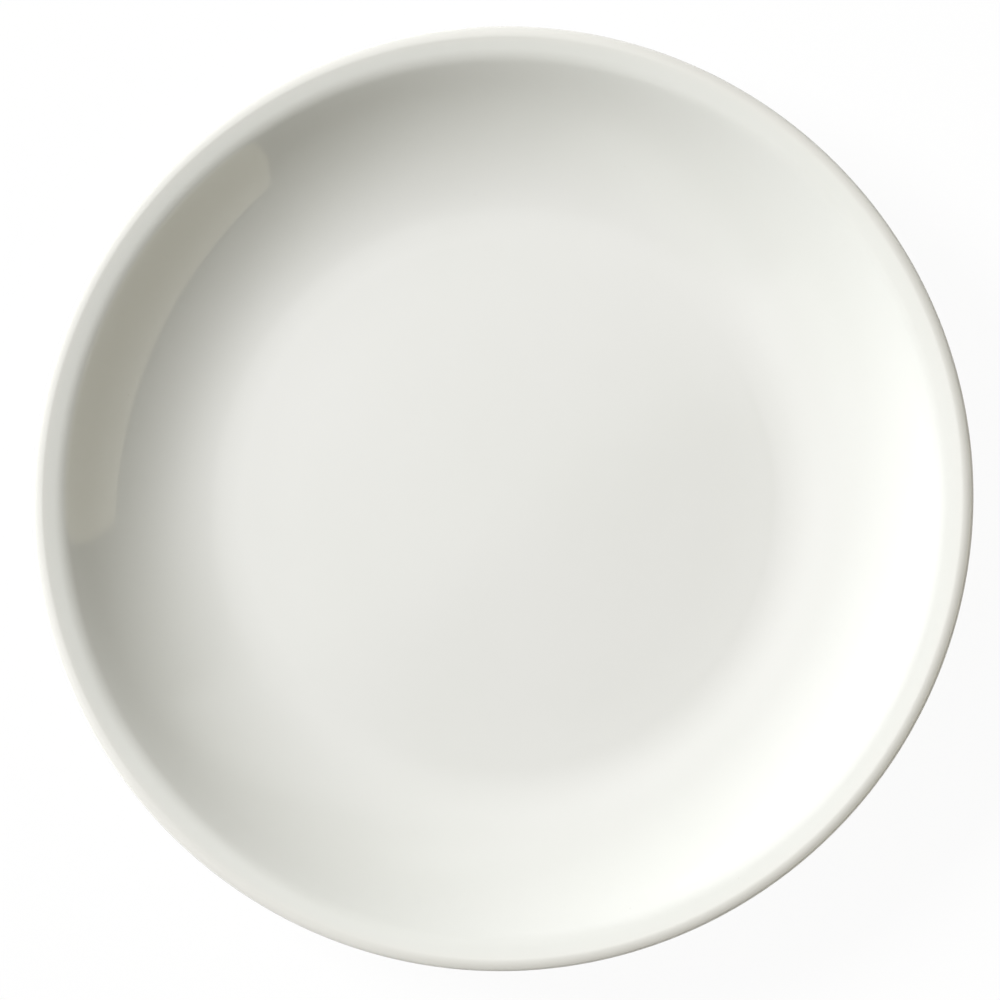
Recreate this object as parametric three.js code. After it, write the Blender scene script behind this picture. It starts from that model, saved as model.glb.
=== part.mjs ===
// A narrow-rim porcelain dinner plate: one fired body with its foot ring, and two coats of glaze fused to it.
// Millimetres, +Z up. The origin is the centre of the foot ring, on the surface that the plate stands on.

import * as THREE from "three";

// Finished plate, glaze included. Slopes are in degrees from level.
const plateDiameter = 254;
const plateHeight = 28.2; // up to the crest of the lip
const rimWidth = 8.1; // from the outer edge in to the corner where the wall starts
const rimSlope = 12.5; // the rim falls inwards
const rimThickness = 5.4;
const crownWidth = 1.9; // the top of the lip falls outwards over this width
const crownSlope = 24;
const crownRadius = 4.2; // rim over into that fall
const edgeRadius = 1; // outer edge of the lip
const underLipRadius = 2.6; // lip into the back of the rim
const shoulderRadius = 9; // rim into wall
const wallSlope = 39;
const wallThickness = 5;
const coveRadius = 61.5; // wall into the floor of the well
const levelFloor = 66; // the floor is level out to about this far from the axis
const floorSlope = 1.75; // and then rises a little towards the cove
const floorRadius = 600; // level floor into that rise
const baseThickness = 5;
const underRimRadius = 6; // back of the wall into the back of the rim
const kneeRadius = 64; // back of the wall into the heel
const heelWidth = 24.4; // from the corner of the knee in to the foot ring
const heelRadius = 1.2; // heel into foot ring

// Foot ring, left bare where it would stick to the kiln shelf
const footHeight = 3;
const footWidth = 4.6; // across the face that stands on the table
const footDraft = 15; // both sides lean towards the table, in degrees from upright
const footEdgeRadius = 0.8;
const recessRadius = 1.2; // foot ring into the base that it encloses
const bareFootHeight = 1.3; // the glaze is wiped off below this

// Glaze
const glazeThickness = 0.3;
const fuseGap = 0.02; // keeps the coats and the body apart where they are fused

// Facets
const facetsRound = 64;
const chordError = 0.1; // of a facet against its true arc

const radians = THREE.MathUtils.degToRad;

// Where two straight sides of the section meet, each given by a point on it and its slope.
function meet(p, slopeP, q, slopeQ) {
  const riseP = Math.tan(radians(slopeP));
  const riseQ = Math.tan(radians(slopeQ));
  const x = (q.y - p.y + riseP * p.x - riseQ * q.x) / (riseP - riseQ);
  return new THREE.Vector2(x, p.y + riseP * (x - p.x));
}

// Corners of the section: x is the distance from the axis, y the height.
const plateRadius = plateDiameter / 2;
const floorHeight = footHeight + baseThickness;
const wellCentre = new THREE.Vector2(0, floorHeight);
const baseCentre = new THREE.Vector2(0, footHeight);

// The crown's corner lies above its crest, which is what the plate's height is measured to.
const rimTurn = radians(rimSlope);
const crownTurn = radians(crownSlope);
const crownRise = (Math.sin(rimTurn) + Math.sin(crownTurn)) / Math.sin(rimTurn + crownTurn) - 1;
const crown = new THREE.Vector2(plateRadius - crownWidth, plateHeight + crownRadius * crownRise);
const lipEdge = new THREE.Vector2(plateRadius, crown.y - crownWidth * Math.tan(crownTurn));
const rimReach = rimWidth - crownWidth;
const shoulder = new THREE.Vector2(crown.x - rimReach, crown.y - rimReach * Math.tan(rimTurn));
const underHeight = crown.y + crownWidth * Math.tan(rimTurn) - rimThickness / Math.cos(rimTurn);
const lipUnder = new THREE.Vector2(plateRadius, underHeight);

const wallTurn = radians(wallSlope);
const backOfWall = new THREE.Vector2(Math.sin(wallTurn), -Math.cos(wallTurn))
  .multiplyScalar(wallThickness)
  .add(shoulder);
const floorEdge = new THREE.Vector2(levelFloor, floorHeight);
const wellCorner = meet(shoulder, wallSlope, floorEdge, floorSlope);
const underRim = meet(lipUnder, rimSlope, backOfWall, wallSlope);
const knee = meet(backOfWall, wallSlope, baseCentre, 0);

// The foot ring hangs from the heel and narrows towards the table. The glaze stands proud of its bare sides.
const underGlaze = glazeThickness + fuseGap;
const glazeStep = underGlaze / Math.cos(radians(footDraft));
const footLean = Math.tan(radians(footDraft));
const glazedLean = (footHeight - bareFootHeight) * footLean;
const heel = new THREE.Vector2(knee.x - heelWidth, footHeight);
const outerGlazeLine = new THREE.Vector2(heel.x - glazedLean, bareFootHeight);
const footOuter = new THREE.Vector2(heel.x - footHeight * footLean - glazeStep, 0);
const footInner = new THREE.Vector2(footOuter.x - footWidth, 0);
const recess = new THREE.Vector2(footInner.x - footHeight * footLean - glazeStep, footHeight);
const innerGlazeLine = new THREE.Vector2(recess.x + glazedLean, bareFootHeight);

const round = (corner, radius) => ({ corner, radius });
const end = (corner) => ({ corner, radius: 0 });

// A run of straight sides with rounded corners, as points that each know the way out of the plate.
// A radius that is too large for its sides is limited by them.
function roundedRun(stops) {
  const sides = stops.slice(1).map((stop, i) => stop.corner.clone().sub(stops[i].corner));
  const turns = stops.map((stop, i) => {
    if (i === 0 || i === stops.length - 1) return 0;
    return Math.atan2(sides[i - 1].cross(sides[i]), sides[i - 1].dot(sides[i]));
  });
  const reaches = stops.map((stop, i) => stop.radius * Math.tan(Math.abs(turns[i]) / 2));
  const fits = sides.map((side, i) => side.length() / Math.max(side.length(), reaches[i] + reaches[i + 1]));

  const run = [];
  stops.forEach(({ corner, radius }, i) => {
    const arriving = sides[Math.max(0, i - 1)];
    const heading = arriving.angle();
    const fit = Math.min(fits[Math.max(0, i - 1)], fits[Math.min(i, fits.length - 1)]);
    const bend = radius * fit * Math.sign(turns[i]);
    const start = arriving.clone().setLength(reaches[i] * fit).negate().add(corner);
    const centre = new THREE.Vector2(-Math.sin(heading), Math.cos(heading)).multiplyScalar(bend).add(start);
    const steps = bend === 0 ? 0 : arcSteps(Math.abs(bend), Math.abs(turns[i]));
    for (let step = 0; step <= steps; step++) {
      const facing = heading + (steps ? (turns[i] * step) / steps : 0);
      const out = new THREE.Vector2(-Math.sin(facing), Math.cos(facing));
      run.push({ point: centre.clone().addScaledVector(out, -bend), out });
    }
  });
  return run;
}

// How many facets an arc takes, at least two, to stay within the chord error.
function arcSteps(radius, turn) {
  const facetTurn = 2 * Math.acos(1 - Math.min(1, chordError / radius));
  return Math.max(2, Math.ceil(turn / facetTurn));
}

const surface = (run) => run.map(({ point }) => point);
const sunk = (run, depth) => run.map(({ point, out }) => point.clone().addScaledVector(out, -depth));

// A section turned once round the plate's axis. It runs from the axis, over the lip side, back to the axis.
function turned(name, section, material) {
  const geometry = new THREE.LatheGeometry(section.reverse(), facetsRound).rotateX(Math.PI / 2);
  const mesh = new THREE.Mesh(geometry, material);
  mesh.name = name;
  return mesh;
}

const bisque = new THREE.MeshStandardMaterial({ color: 0xeeebe4, roughness: 0.7, metalness: 0 });
const clearGlaze = new THREE.MeshStandardMaterial({ color: 0xf0f1ec, roughness: 0.08, metalness: 0 });

// From the centre of the well, over the rim and lip, down the back to the glaze line on the foot ring.
const faceRun = roundedRun([
  end(wellCentre),
  round(floorEdge, floorRadius),
  round(wellCorner, coveRadius),
  round(shoulder, shoulderRadius),
  round(crown, crownRadius),
  round(lipEdge, edgeRadius),
  round(lipUnder, underLipRadius),
  round(underRim, underRimRadius),
  round(knee, kneeRadius),
  round(heel, heelRadius),
  end(outerGlazeLine),
]);

// From the glaze line inside the foot ring to the centre of the base.
const baseRun = roundedRun([
  end(innerGlazeLine),
  round(recess, recessRadius),
  end(baseCentre),
]);

// The body lies under both coats and shows at the foot ring between them.
const underFace = sunk(faceRun, underGlaze);
const underBase = sunk(baseRun, underGlaze);
const footRun = roundedRun([
  end(underFace.at(-1)),
  round(footOuter, footEdgeRadius),
  round(footInner, footEdgeRadius),
  end(underBase[0]),
]);

const body = [...underFace, ...surface(footRun).slice(1, -1), ...underBase];
const faceCoat = [...surface(faceRun), ...sunk(faceRun, glazeThickness).reverse()];
const baseCoat = [...sunk(baseRun, glazeThickness).reverse(), ...surface(baseRun)];

const plate = new THREE.Group();
plate.add(turned("porcelain_body", body, bisque));
plate.add(turned("face_glaze", faceCoat, clearGlaze));
plate.add(turned("base_glaze", baseCoat, clearGlaze));

export default plate;
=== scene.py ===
import math

import bpy
import numpy as np
from mathutils import Matrix, Vector


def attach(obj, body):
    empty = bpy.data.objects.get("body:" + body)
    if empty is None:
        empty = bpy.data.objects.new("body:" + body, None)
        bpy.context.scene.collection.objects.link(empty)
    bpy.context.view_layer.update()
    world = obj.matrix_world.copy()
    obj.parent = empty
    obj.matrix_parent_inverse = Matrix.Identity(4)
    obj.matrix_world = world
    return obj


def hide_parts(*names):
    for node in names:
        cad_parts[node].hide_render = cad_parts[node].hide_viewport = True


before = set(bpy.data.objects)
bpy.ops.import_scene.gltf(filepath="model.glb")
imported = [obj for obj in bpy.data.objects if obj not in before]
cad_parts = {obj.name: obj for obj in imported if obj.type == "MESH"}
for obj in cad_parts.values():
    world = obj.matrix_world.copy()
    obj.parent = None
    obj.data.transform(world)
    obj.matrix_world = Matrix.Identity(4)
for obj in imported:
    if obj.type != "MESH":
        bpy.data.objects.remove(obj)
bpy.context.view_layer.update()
scene = bpy.context.scene
scene.view_settings.view_transform = "Standard"
print("frame loaded, nodes:", ", ".join(sorted(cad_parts)))

# turned section, millimetres and degrees: the sizes of the solids, and an easing at the foot of the cove
plateShape = {
    "radius": 127.0,
    "height": 28.2,
    "rimWidth": 8.1,
    "rimSlope": 12.5,
    "rimThickness": 5.4,
    "crownWidth": 1.9,
    "crownSlope": 24.0,
    "crownRadius": 4.2,
    "edgeRadius": 1.0,
    "underLipRadius": 2.6,
    "shoulderRadius": 9.0,
    "wallSlope": 39.0,
    "wallThickness": 5.0,
    "coveRadius": 61.5,
    "easeSlope": 4.5,  # the floor bends up to this before the cove proper
    "easeRadius": 150.0,
    "levelFloor": 66.0,
    "floorSlope": 1.75,
    "floorRadius": 600.0,
    "baseThickness": 5.0,
    "underRimRadius": 6.0,
    "kneeRadius": 64.0,
    "heelWidth": 24.4,
    "heelRadius": 1.2,
    "footHeight": 3.0,
    "footWidth": 4.6,
    "footDraft": 15.0,
    "footEdgeRadius": 0.8,
    "recessRadius": 1.2,
    "bareFootHeight": 1.3,
    "glazeThickness": 0.3,
    "fuseGap": 0.02,
}

# how finely the section and the turn are cut
turning = {
    "segments": 288,
    "arcTurn": 4.0,  # degrees of bend per step
    "arcLength": 1.6,  # mm of arc per step
    "sideLength": 5.0,  # mm of straight side per step
}


def meetLines(p, slopeP, q, slopeQ):
    riseP, riseQ = math.tan(math.radians(slopeP)), math.tan(math.radians(slopeQ))
    x = (q[1] - p[1] + riseP * p[0] - riseQ * q[0]) / (riseP - riseQ)
    return x, p[1] + riseP * (x - p[0])


# straight sides with rounded corners, as points and the way out of the plate at each
def roundCorners(stops):
    corners = [np.array(corner, float) for corner, _ in stops]
    radii = [radius for _, radius in stops]
    sides = [b - a for a, b in zip(corners, corners[1:])]
    lengths = [np.linalg.norm(side) for side in sides]
    turns = [0.0] * len(corners)
    for i in range(1, len(sides)):
        a, b = sides[i - 1], sides[i]
        turns[i] = math.atan2(a[0] * b[1] - a[1] * b[0], a @ b)
    reaches = [radius * math.tan(abs(turn) / 2) for radius, turn in zip(radii, turns)]
    fits = [length / max(length, reaches[i] + reaches[i + 1]) for i, length in enumerate(lengths)]
    points, outs = [], []
    for i, corner in enumerate(corners):
        before, after = max(0, i - 1), min(i, len(fits) - 1)
        fit = min(fits[before], fits[after])
        heading = math.atan2(sides[before][1], sides[before][0])
        bend = radii[i] * fit * np.sign(turns[i])
        start = corner - sides[before] / lengths[before] * reaches[i] * fit
        centre = start + bend * np.array((-math.sin(heading), math.cos(heading)))
        steps = 0
        if bend:
            byTurn = abs(turns[i]) / math.radians(turning["arcTurn"])
            byLength = abs(turns[i] * bend) / turning["arcLength"]
            steps = max(2, math.ceil(byTurn), math.ceil(byLength))
        for step in range(steps + 1):
            facing = heading + (turns[i] * step / steps if steps else 0)
            out = np.array((-math.sin(facing), math.cos(facing)))
            point = centre - bend * out
            if step == 0 and points:  # cut the straight side that leads here
                last, lastOut = points[-1], outs[-1]
                cuts = math.ceil(np.linalg.norm(point - last) / turning["sideLength"])
                for cut in range(1, cuts):
                    points.append(last + (point - last) * cut / cuts)
                    outs.append(lastOut)
            points.append(point)
            outs.append(out)
    return np.array(points), np.array(outs)


def sink(run, depth):
    points, outs = run
    return points - outs * depth


# a round bead that closes a coat of glaze at its end, from its face to its back
def glazeBead(face, back, steps=6):
    middle, half = (face + back) / 2, (face - back) / 2
    ahead = np.array((half[1], -half[0]))
    angles = np.linspace(0, math.pi, steps + 1)[1:-1]
    return np.array([middle + half * math.cos(a) + ahead * math.sin(a) for a in angles])


def plateRuns(s):
    rim, wall = math.radians(s["rimSlope"]), math.radians(s["wallSlope"])
    floorHeight = s["footHeight"] + s["baseThickness"]
    crownFall = math.radians(s["crownSlope"])
    crownShare = (math.sin(rim) + math.sin(crownFall)) / math.sin(rim + crownFall) - 1
    crown = (s["radius"] - s["crownWidth"], s["height"] + s["crownRadius"] * crownShare)
    lipEdge = (s["radius"], crown[1] - s["crownWidth"] * math.tan(crownFall))
    rimReach = s["rimWidth"] - s["crownWidth"]
    shoulder = (crown[0] - rimReach, crown[1] - rimReach * math.tan(rim))
    underHeight = crown[1] + s["crownWidth"] * math.tan(rim) - s["rimThickness"] / math.cos(rim)
    lipUnder = (s["radius"], underHeight)
    across, down = s["wallThickness"] * math.sin(wall), s["wallThickness"] * math.cos(wall)
    back = (shoulder[0] + across, shoulder[1] - down)
    floorEdge = (s["levelFloor"], floorHeight)

    # the floor bends up a little, and then the cove takes over
    floorRise, ease = math.radians(s["floorSlope"]), math.radians(s["easeSlope"])
    reach = s["easeRadius"] * math.tan((ease - floorRise) / 2)
    reach += s["coveRadius"] * math.tan((wall - ease) / 2)
    along, up = reach * math.cos(ease), reach * math.sin(ease)
    beforeWall = (shoulder[0] - along, shoulder[1] - up)
    easeCorner = meetLines(beforeWall, s["wallSlope"], floorEdge, s["floorSlope"])
    wellCorner = (easeCorner[0] + along, easeCorner[1] + up)

    underRim = meetLines(lipUnder, s["rimSlope"], back, s["wallSlope"])
    knee = meetLines(back, s["wallSlope"], (0, s["footHeight"]), 0)

    underGlaze = s["glazeThickness"] + s["fuseGap"]
    lean = math.tan(math.radians(s["footDraft"]))
    glazeStep = underGlaze / math.cos(math.radians(s["footDraft"]))
    glazedLean = (s["footHeight"] - s["bareFootHeight"]) * lean
    heel = (knee[0] - s["heelWidth"], s["footHeight"])
    footOuter = (heel[0] - s["footHeight"] * lean - glazeStep, 0)
    footInner = (footOuter[0] - s["footWidth"], 0)
    recess = (footInner[0] - s["footHeight"] * lean - glazeStep, s["footHeight"])

    faceRun = roundCorners([
        ((0, floorHeight), 0),
        (floorEdge, s["floorRadius"]),
        (easeCorner, s["easeRadius"]),
        (wellCorner, s["coveRadius"]),
        (shoulder, s["shoulderRadius"]),
        (crown, s["crownRadius"]),
        (lipEdge, s["edgeRadius"]),
        (lipUnder, s["underLipRadius"]),
        (underRim, s["underRimRadius"]),
        (knee, s["kneeRadius"]),
        (heel, s["heelRadius"]),
        ((heel[0] - glazedLean, s["bareFootHeight"]), 0),
    ])
    baseRun = roundCorners([
        ((recess[0] + glazedLean, s["bareFootHeight"]), 0),
        (recess, s["recessRadius"]),
        ((0, s["footHeight"]), 0),
    ])
    underFace, underBase = sink(faceRun, underGlaze), sink(baseRun, underGlaze)
    footPoints, _ = roundCorners([
        (underFace[-1], 0),
        (footOuter, s["footEdgeRadius"]),
        (footInner, s["footEdgeRadius"]),
        (underBase[0], 0),
    ])
    return faceRun, baseRun, np.vstack([underFace, footPoints[1:-1], underBase])


# what the kiln does to a plate: a slight saddle and a rim that isn't quite level
kiln = {
    "saddle": 0.10,  # mm at the rim
    "saddleTurn": 35.0,
    "ripple": 0.05,
    "rippleTurn": 80.0,
    "oval": 0.06,
    "ovalTurn": 110.0,
}


def fireWarp(r, angle, z):
    share = r / plateShape["radius"]
    saddle = kiln["saddle"] * share ** 2 * np.cos(2 * (angle - math.radians(kiln["saddleTurn"])))
    ripple = kiln["ripple"] * share ** 4 * np.cos(3 * (angle - math.radians(kiln["rippleTurn"])))
    oval = kiln["oval"] * share ** 2 * np.cos(2 * (angle - math.radians(kiln["ovalTurn"])))
    return r + oval, z + saddle + ripple


# turns a section that starts and ends on the axis, once round, into a smooth closed mesh
def spinSection(name, section, lineWobble=None):
    count = turning["segments"]
    angles = np.arange(count) * 2 * math.pi / count
    verts, rings = [], []
    for r, z in section:
        onAxis = r < 1e-6
        rings.append((len(verts), onAxis))
        if onAxis:
            verts.append((0.0, 0.0, z / 1000))
            continue
        height = z + (lineWobble(r, z, angles) if lineWobble else 0.0)
        radius, height = fireWarp(np.full(count, r), angles, height)
        ring = np.stack([radius * np.cos(angles), radius * np.sin(angles), height], axis=1) / 1000
        verts.extend(map(tuple, ring))
    faces = []
    for (a, aPole), (b, bPole) in zip(rings, rings[1:]):
        for j in range(count):
            k = (j + 1) % count
            if aPole:
                faces.append((a, b + j, b + k))
            elif bPole:
                faces.append((a + j, b, a + k))
            else:
                faces.append((a + j, b + j, b + k, a + k))
    mesh = bpy.data.meshes.new(name)
    mesh.from_pydata(verts, [], faces)
    mesh.polygons.foreach_set("use_smooth", [True] * len(faces))
    mesh.update()
    piece = bpy.data.objects.new(name, mesh)
    scene.collection.objects.link(piece)
    return piece


# small helpers for node trees
def newTree(material):
    material.use_nodes = True
    tree = material.node_tree
    tree.nodes.clear()
    return tree


def addNode(tree, kind, **values):
    node = tree.nodes.new(kind)
    for key, value in values.items():
        if hasattr(node, key):
            setattr(node, key, value)
        else:
            node.inputs[key.replace("_", " ")].default_value = value
    return node


def joinNodes(tree, source, target, output=0, intake=0):
    tree.links.new(source.outputs[output], target.inputs[intake])
    return target


def remap(tree, source, low, high, toLow, toHigh, output=0, smooth=False):
    node = addNode(tree, "ShaderNodeMapRange", From_Min=low, From_Max=high, To_Min=toLow, To_Max=toHigh)
    node.interpolation_type = "SMOOTHSTEP" if smooth else "LINEAR"
    return joinNodes(tree, source, node, output, "Value")


def blendColour(tree, factor, a, b):
    node = addNode(tree, "ShaderNodeMix", data_type="RGBA")
    joinNodes(tree, factor, node, 0, "Factor")
    for socket, colour in ((node.inputs[6], a), (node.inputs[7], b)):
        if isinstance(colour, tuple):
            socket.default_value = (*colour, 1)
        else:
            tree.links.new(colour.outputs[2], socket)
    return node


def multiply(tree, a, b):
    node = addNode(tree, "ShaderNodeMath", operation="MULTIPLY")
    joinNodes(tree, a, node, 0, 0)
    return joinNodes(tree, b, node, 0, 1)


def distanceFromAxis(tree, coords):
    flat = addNode(tree, "ShaderNodeVectorMath", operation="MULTIPLY")
    flat.inputs[1].default_value = (1, 1, 0)
    joinNodes(tree, coords, flat, "Object")
    return joinNodes(tree, flat, addNode(tree, "ShaderNodeVectorMath", operation="LENGTH"))


# clear gloss over white porcelain: pools a little in the cove, runs thin over the lip
glazeLook = {
    "white": (0.805, 0.811, 0.787),
    "cloud": (0.819, 0.822, 0.804),
    "cloudScale": 16.0,
    "pooled": (0.782, 0.796, 0.752),
    "pooledShare": 0.5,
    "coveReach": (0.074, 0.108),  # m from the axis
    "thin": (0.830, 0.816, 0.776),
    "thinShare": 0.6,
    "lipReach": (0.1215, 0.1262),
    "speck": (0.42, 0.37, 0.31),
    "speckShare": 0.35,
    "speckScale": 95.0,
    "speckEdge": (0.008, 0.018),
    "roughness": (0.030, 0.065),
    "smearScale": 55.0,
    "noiseSpan": (0.35, 0.65),  # the part of the noise that is used
    "peelScale": 280.0,
    "peelDepth": 0.0000022,
    "swellScale": 38.0,
    "swellDepth": 0.000008,
}


def glazeFinish(look):
    material = bpy.data.materials.new("whiteGlaze")
    tree = newTree(material)
    coords = addNode(tree, "ShaderNodeTexCoord")
    outward = distanceFromAxis(tree, coords)

    cloud = addNode(tree, "ShaderNodeTexNoise", Scale=look["cloudScale"], Detail=3.0)
    joinNodes(tree, coords, cloud, "Object")
    clouded = remap(tree, cloud, *look["noiseSpan"], 0, 1)
    colour = blendColour(tree, clouded, look["white"], look["cloud"])

    inCove = remap(tree, outward, *look["coveReach"], 0, look["pooledShare"], "Value", smooth=True)
    colour = blendColour(tree, inCove, colour, look["pooled"])
    onLip = remap(tree, outward, *look["lipReach"], 0, look["thinShare"], "Value", smooth=True)
    colour = blendColour(tree, onLip, colour, look["thin"])

    specks = addNode(tree, "ShaderNodeTexVoronoi", Scale=look["speckScale"])
    joinNodes(tree, coords, specks, "Object")
    specked = remap(tree, specks, *look["speckEdge"], look["speckShare"], 0)
    colour = blendColour(tree, specked, colour, look["speck"])

    smear = addNode(tree, "ShaderNodeTexNoise", Scale=look["smearScale"], Detail=4.0)
    joinNodes(tree, coords, smear, "Object")
    gloss = remap(tree, smear, *look["noiseSpan"], *look["roughness"])

    swell = addNode(tree, "ShaderNodeTexNoise", Scale=look["swellScale"], Detail=1.0)
    joinNodes(tree, coords, swell, "Object")
    swellBump = addNode(tree, "ShaderNodeBump", Strength=1.0, Distance=look["swellDepth"])
    joinNodes(tree, swell, swellBump, 0, "Height")
    peel = addNode(tree, "ShaderNodeTexNoise", Scale=look["peelScale"], Detail=2.0)
    joinNodes(tree, coords, peel, "Object")
    peelBump = addNode(tree, "ShaderNodeBump", Strength=1.0, Distance=look["peelDepth"])
    joinNodes(tree, peel, peelBump, 0, "Height")
    joinNodes(tree, swellBump, peelBump, 0, "Normal")

    shader = addNode(tree, "ShaderNodeBsdfPrincipled", IOR=1.5)
    joinNodes(tree, colour, shader, 2, "Base Color")
    joinNodes(tree, gloss, shader, 0, "Roughness")
    joinNodes(tree, peelBump, shader, 0, "Normal")
    joinNodes(tree, shader, addNode(tree, "ShaderNodeOutputMaterial"))
    return material


# bare fired porcelain on the foot: fine grain, grinding round the ring, greyed where it stands
bareLook = {
    "clay": (0.800, 0.770, 0.715),
    "sand": (0.720, 0.680, 0.615),
    "worn": (0.500, 0.485, 0.460),
    "wornHeight": 0.0005,
    "grainScale": 2200.0,
    "grainSpan": (0.40, 0.62),
    "grainDepth": 0.000014,
    "grindScale": (2600, 9, 1),  # outwards, round the ring
    "grindSpan": (0.42, 0.66),
    "grindShare": 0.8,
    "roughness": (0.55, 0.78),
}


def bareFinish(look):
    material = bpy.data.materials.new("barePorcelain")
    tree = newTree(material)
    coords = addNode(tree, "ShaderNodeTexCoord")
    split = joinNodes(tree, coords, addNode(tree, "ShaderNodeSeparateXYZ"), "Object")

    grain = addNode(tree, "ShaderNodeTexNoise", Scale=look["grainScale"], Detail=5.0, Roughness=0.65)
    joinNodes(tree, coords, grain, "Object")
    sandy = remap(tree, grain, *look["grainSpan"], 0, 1)
    colour = blendColour(tree, sandy, look["clay"], look["sand"])

    # grinding marks run round the ring, so they are drawn by radius and bearing
    bearing = addNode(tree, "ShaderNodeMath", operation="ARCTAN2")
    joinNodes(tree, split, bearing, "Y", 0)
    joinNodes(tree, split, bearing, "X", 1)
    ringPlace = addNode(tree, "ShaderNodeCombineXYZ")
    joinNodes(tree, distanceFromAxis(tree, coords), ringPlace, "Value", "X")
    joinNodes(tree, bearing, ringPlace, 0, "Y")
    stretch = addNode(tree, "ShaderNodeVectorMath", operation="MULTIPLY")
    stretch.inputs[1].default_value = look["grindScale"]
    joinNodes(tree, ringPlace, stretch)
    grinding = addNode(tree, "ShaderNodeTexNoise", Scale=1.0, Detail=3.0)
    joinNodes(tree, stretch, grinding)

    standing = remap(tree, split, 0, look["wornHeight"], 1, 0, "Z", smooth=True)
    ground = remap(tree, grinding, *look["grindSpan"], 0, look["grindShare"])
    scuffed = multiply(tree, standing, ground)
    colour = blendColour(tree, scuffed, colour, look["worn"])

    rubbed = remap(tree, scuffed, 0, 1, look["roughness"][1], look["roughness"][0])
    bump = addNode(tree, "ShaderNodeBump", Strength=1.0, Distance=look["grainDepth"])
    joinNodes(tree, grain, bump, 0, "Height")

    shader = addNode(tree, "ShaderNodeBsdfPrincipled", IOR=1.5)
    joinNodes(tree, colour, shader, 2, "Base Color")
    joinNodes(tree, rubbed, shader, 0, "Roughness")
    joinNodes(tree, bump, shader, 0, "Normal")
    joinNodes(tree, shader, addNode(tree, "ShaderNodeOutputMaterial"))
    return material


faceRun, baseRun, bodySection = plateRuns(plateShape)
whiteGlaze = glazeFinish(glazeLook)
barePorcelain = bareFinish(bareLook)
print("finishes mixed")
print("section cut:", len(faceRun[0]), "points on the face,", len(baseRun[0]), "on the base")

# the glaze is wiped off the foot by hand, so its line wanders
glazeLine = {
    "wander": 0.16,  # mm up and down
    "waves": (3, 7, 16),
    "phase": 1.7,
    "fade": 0.9,  # mm up the foot to where the wander is gone
    "reach": 80.0,  # mm from the axis, beyond the foot
}


def wanderLine(r, z, angles):
    if r > glazeLine["reach"]:
        return 0.0
    fade = max(0.0, 1 - abs(z - plateShape["bareFootHeight"]) / glazeLine["fade"])
    phase = glazeLine["phase"]
    waves = sum(np.cos(n * angles + phase * n * n) / (i + 1) for i, n in enumerate(glazeLine["waves"]))
    return glazeLine["wander"] * fade * waves


def dressPiece(piece, finish, node):
    piece.data.materials.append(finish)
    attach(piece, "root")
    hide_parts(node)


# coat over the well, rim, lip and back
faceBack = sink(faceRun, plateShape["glazeThickness"])
faceBead = glazeBead(faceRun[0][-1], faceBack[-1])
faceGlaze = spinSection("faceGlaze", np.vstack([faceRun[0], faceBead, faceBack[::-1]]), wanderLine)
dressPiece(faceGlaze, whiteGlaze, "face_glaze")
print("face glaze turned")

# coat on the base inside the foot ring
baseBack = sink(baseRun, plateShape["glazeThickness"])
baseBead = glazeBead(baseBack[0], baseRun[0][0])
baseGlaze = spinSection("baseGlaze", np.vstack([baseBack[::-1], baseBead, baseRun[0]]), wanderLine)
dressPiece(baseGlaze, whiteGlaze, "base_glaze")
print("base glaze turned")

# the fired body, bare on the foot ring
porcelainBody = spinSection("porcelainBody", bodySection)
dressPiece(porcelainBody, barePorcelain, "porcelain_body")
print("body turned")

# pale floor that turns up at its edge, metres
floorLook = {
    "drop": 0.0003,  # keeps the floor clear of the warped foot
    "rings": (0.4, 1.2, 3.0),
    "turnUp": 0.9,
    "turnSteps": 12,
    "segments": 96,
    "colour": (0.94, 0.94, 0.94),
    "whiteShare": 0.95,  # how far the camera sees it as plain white
}


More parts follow.
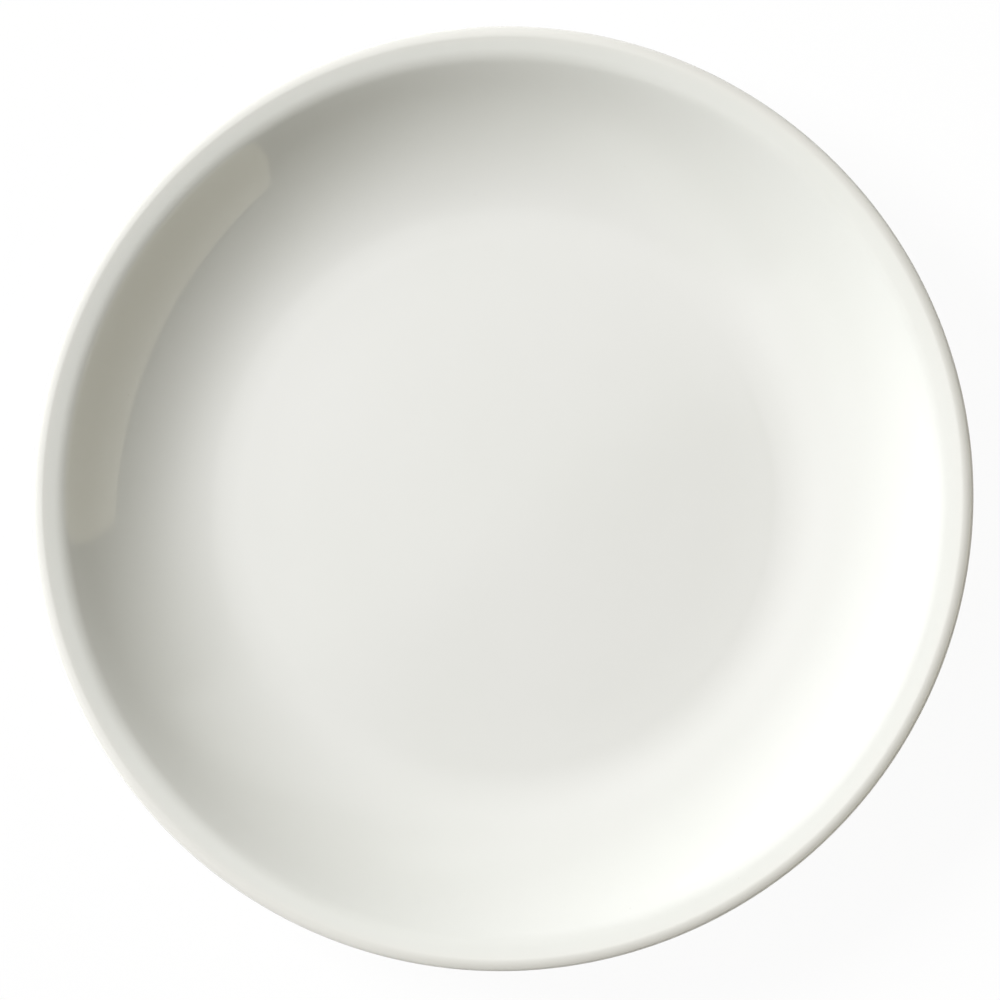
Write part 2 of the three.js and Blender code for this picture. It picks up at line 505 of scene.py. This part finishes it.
def paleFloor(look):
    bend, steps, count = look["turnUp"], look["turnSteps"], look["segments"]
    outline = [(r, 0.0) for r in look["rings"]]
    for step in range(1, steps + 1):
        a = math.pi / 2 * step / steps
        outline.append((look["rings"][-1] + bend * math.sin(a), bend * (1 - math.cos(a))))
    verts, faces = [(0, 0, -look["drop"])], []
    for r, z in outline:
        for j in range(count):
            a = 2 * math.pi * j / count
            verts.append((r * math.cos(a), r * math.sin(a), z - look["drop"]))
    for j in range(count):
        k = (j + 1) % count
        faces.append((0, 1 + j, 1 + k))
        for i in range(len(outline) - 1):
            a, b = 1 + i * count, 1 + (i + 1) * count
            faces.append((a + j, b + j, b + k, a + k))
    mesh = bpy.data.meshes.new("paleFloor")
    mesh.from_pydata(verts, [], faces)
    mesh.polygons.foreach_set("use_smooth", [True] * len(faces))
    floor = bpy.data.objects.new("paleFloor", mesh)
    scene.collection.objects.link(floor)

    material = bpy.data.materials.new("paleFloor")
    tree = newTree(material)
    matt = addNode(tree, "ShaderNodeBsdfDiffuse", Color=(*look["colour"], 1))
    white = addNode(tree, "ShaderNodeEmission", Color=(1, 1, 1, 1), Strength=1.0)
    path = addNode(tree, "ShaderNodeLightPath")
    seen = addNode(tree, "ShaderNodeMath", operation="MAXIMUM")
    joinNodes(tree, path, seen, "Is Camera Ray", 0)
    joinNodes(tree, path, seen, "Is Glossy Ray", 1)
    through = addNode(tree, "ShaderNodeMath", operation="MAXIMUM")
    joinNodes(tree, seen, through, 0, 0)
    joinNodes(tree, path, through, "Is Transmission Ray", 1)
    share = addNode(tree, "ShaderNodeMath", operation="MULTIPLY")
    joinNodes(tree, through, share, 0, 0)
    share.inputs[1].default_value = look["whiteShare"]
    mix = addNode(tree, "ShaderNodeMixShader")
    joinNodes(tree, share, mix, 0, 0)
    joinNodes(tree, matt, mix, 0, 1)
    joinNodes(tree, white, mix, 0, 2)
    joinNodes(tree, mix, addNode(tree, "ShaderNodeOutputMaterial"))
    mesh.materials.append(material)


paleFloor(floorLook)
print("floor laid")


def towards(bearing, elevation):
    a, e = math.radians(bearing), math.radians(elevation)
    return Vector((math.cos(a) * math.cos(e), math.sin(a) * math.cos(e), math.sin(e)))


# what little light comes from everywhere, 1 is the strength of white
room = {"fill": 0.008, "fillColour": (1.0, 0.93, 0.78)}


def lightRoom(look):
    world = bpy.data.worlds.new("room")
    scene.world = world
    tree = newTree(world)
    fill = addNode(tree, "ShaderNodeBackground", Color=(*look["fillColour"], 1), Strength=look["fill"])
    joinNodes(tree, fill, addNode(tree, "ShaderNodeOutputWorld"))


lightRoom(room)

# two long white sheets overhead, metres: their near edges show as a soft shade across the well
sheets = {
    "crispSheet": {"bearing": 125.0, "height": 0.85, "edge": 0.077, "soft": 0.05, "glow": 0.65},
    "faintSheet": {"bearing": 165.0, "height": 0.87, "edge": 0.093, "soft": 0.21, "glow": 0.67},
    "farFade": (0.14, 0.36),  # from the near edge, where the other side fades
    "endFade": (0.6, 1.4),  # from the middle, where the ends fade
}


def hangSheet(name):
    look = sheets[name]
    near, far, half = -look["soft"] / 2, sheets["farFade"][1], sheets["endFade"][1]
    mesh = bpy.data.meshes.new(name)
    corners = [(near, -half, 0), (near, half, 0), (far, half, 0), (far, -half, 0)]
    mesh.from_pydata(corners, [], [(0, 1, 2, 3)])
    sheet = bpy.data.objects.new(name, mesh)
    sheet.location = towards(look["bearing"], 0) * look["edge"] + Vector((0, 0, look["height"]))
    sheet.rotation_euler.z = math.radians(look["bearing"])
    sheet.visible_camera = False
    scene.collection.objects.link(sheet)

    material = bpy.data.materials.new(name)
    tree = newTree(material)
    coords = addNode(tree, "ShaderNodeTexCoord")
    split = joinNodes(tree, coords, addNode(tree, "ShaderNodeSeparateXYZ"), "Object")
    rise = remap(tree, split, near, -near, 0, look["glow"], "X", smooth=True)
    fall = remap(tree, split, *sheets["farFade"], 1, 0, "X", smooth=True)
    aside = joinNodes(tree, split, addNode(tree, "ShaderNodeMath", operation="ABSOLUTE"), "Y")
    ends = remap(tree, aside, *sheets["endFade"], 1, 0, smooth=True)
    glow = addNode(tree, "ShaderNodeEmission", Color=(1, 1, 1, 1))
    joinNodes(tree, multiply(tree, multiply(tree, rise, fall), ends), glow, 0, "Strength")
    clear = addNode(tree, "ShaderNodeBsdfTransparent")  # the other sheet and the lamps shine through
    both = addNode(tree, "ShaderNodeAddShader")
    joinNodes(tree, glow, both, 0, 0)
    joinNodes(tree, clear, both, 0, 1)
    joinNodes(tree, both, addNode(tree, "ShaderNodeOutputMaterial"))
    mesh.materials.append(material)


hangSheet("crispSheet")
hangSheet("faintSheet")

# lamps: bearing and elevation in degrees, metres, and 1 is the glow of a white sheet
keyLamp = {
    "bearing": 153.0,
    "elevation": 36.0,
    "distance": 4.0,
    "aimHeight": 0.01,
    "size": (1.9, 1.4),
    "glow": 24.3,
}
cardLamp = {
    "bearing": -24.2,
    "distance": 0.75,
    "base": 0.36,
    "top": 0.84,
    "width": 1.03,
    "lean": 10.0,  # backwards
    "glow": 1.31,
    "colour": (1.0, 0.92, 0.65),
}


def addPanel(name, place, aim, size, glow, colour=(1, 1, 1)):
    lamp = bpy.data.lights.new(name, "AREA")
    lamp.shape = "RECTANGLE"
    lamp.size, lamp.size_y = size
    lamp.energy = glow * math.pi * size[0] * size[1]
    lamp.color = colour
    panel = bpy.data.objects.new(name, lamp)
    panel.location = place
    panel.rotation_euler = (aim - place).to_track_quat("-Z", "Y").to_euler()
    panel.visible_camera = False
    scene.collection.objects.link(panel)
    return panel


keyPlace = towards(keyLamp["bearing"], keyLamp["elevation"]) * keyLamp["distance"]
keyAim = Vector((0, 0, keyLamp["aimHeight"]))
key = addPanel("keyLamp", keyPlace, keyAim, keyLamp["size"], keyLamp["glow"])
key.visible_glossy = False  # the gloss shows the sheets instead

cardHeight = cardLamp["top"] - cardLamp["base"]
cardMiddle = Vector((0, 0, cardLamp["base"] + cardHeight / 2))
cardPlace = cardMiddle + towards(cardLamp["bearing"], 0) * cardLamp["distance"]
cardSize = (cardLamp["width"], cardHeight)
cardRise = cardLamp["distance"] * math.tan(math.radians(cardLamp["lean"]))
cardAim = cardMiddle + Vector((0, 0, cardRise))
addPanel("cardLamp", cardPlace, cardAim, cardSize, cardLamp["glow"], cardLamp["colour"])
print("sheets and lamps set")

# camera a little off straight down, metres and degrees
cameraView = {
    "tilt": 7.0,
    "bearing": -30.0,
    "distance": 1.15,
    "aim": (0.0003, -0.0010, 0.0237),
    "sensor": 36.0,  # mm, as the lens
    "lens": 153.85,
    "clip": (0.05, 50.0),
}


def placeCamera(view):
    camera = bpy.data.cameras.new("camera")
    camera.sensor_width = view["sensor"]
    camera.lens = view["lens"]
    camera.clip_start, camera.clip_end = view["clip"]
    holder = bpy.data.objects.new("camera", camera)
    scene.collection.objects.link(holder)
    away = towards(view["bearing"], 90 - view["tilt"])
    across = Vector((0, 1, 0)).cross(away).normalized()
    turn = Matrix((across, away.cross(across), away)).transposed().to_4x4()
    holder.matrix_world = Matrix.Translation(Vector(view["aim"]) + away * view["distance"]) @ turn
    scene.camera = holder


placeCamera(cameraView)
print("camera placed")
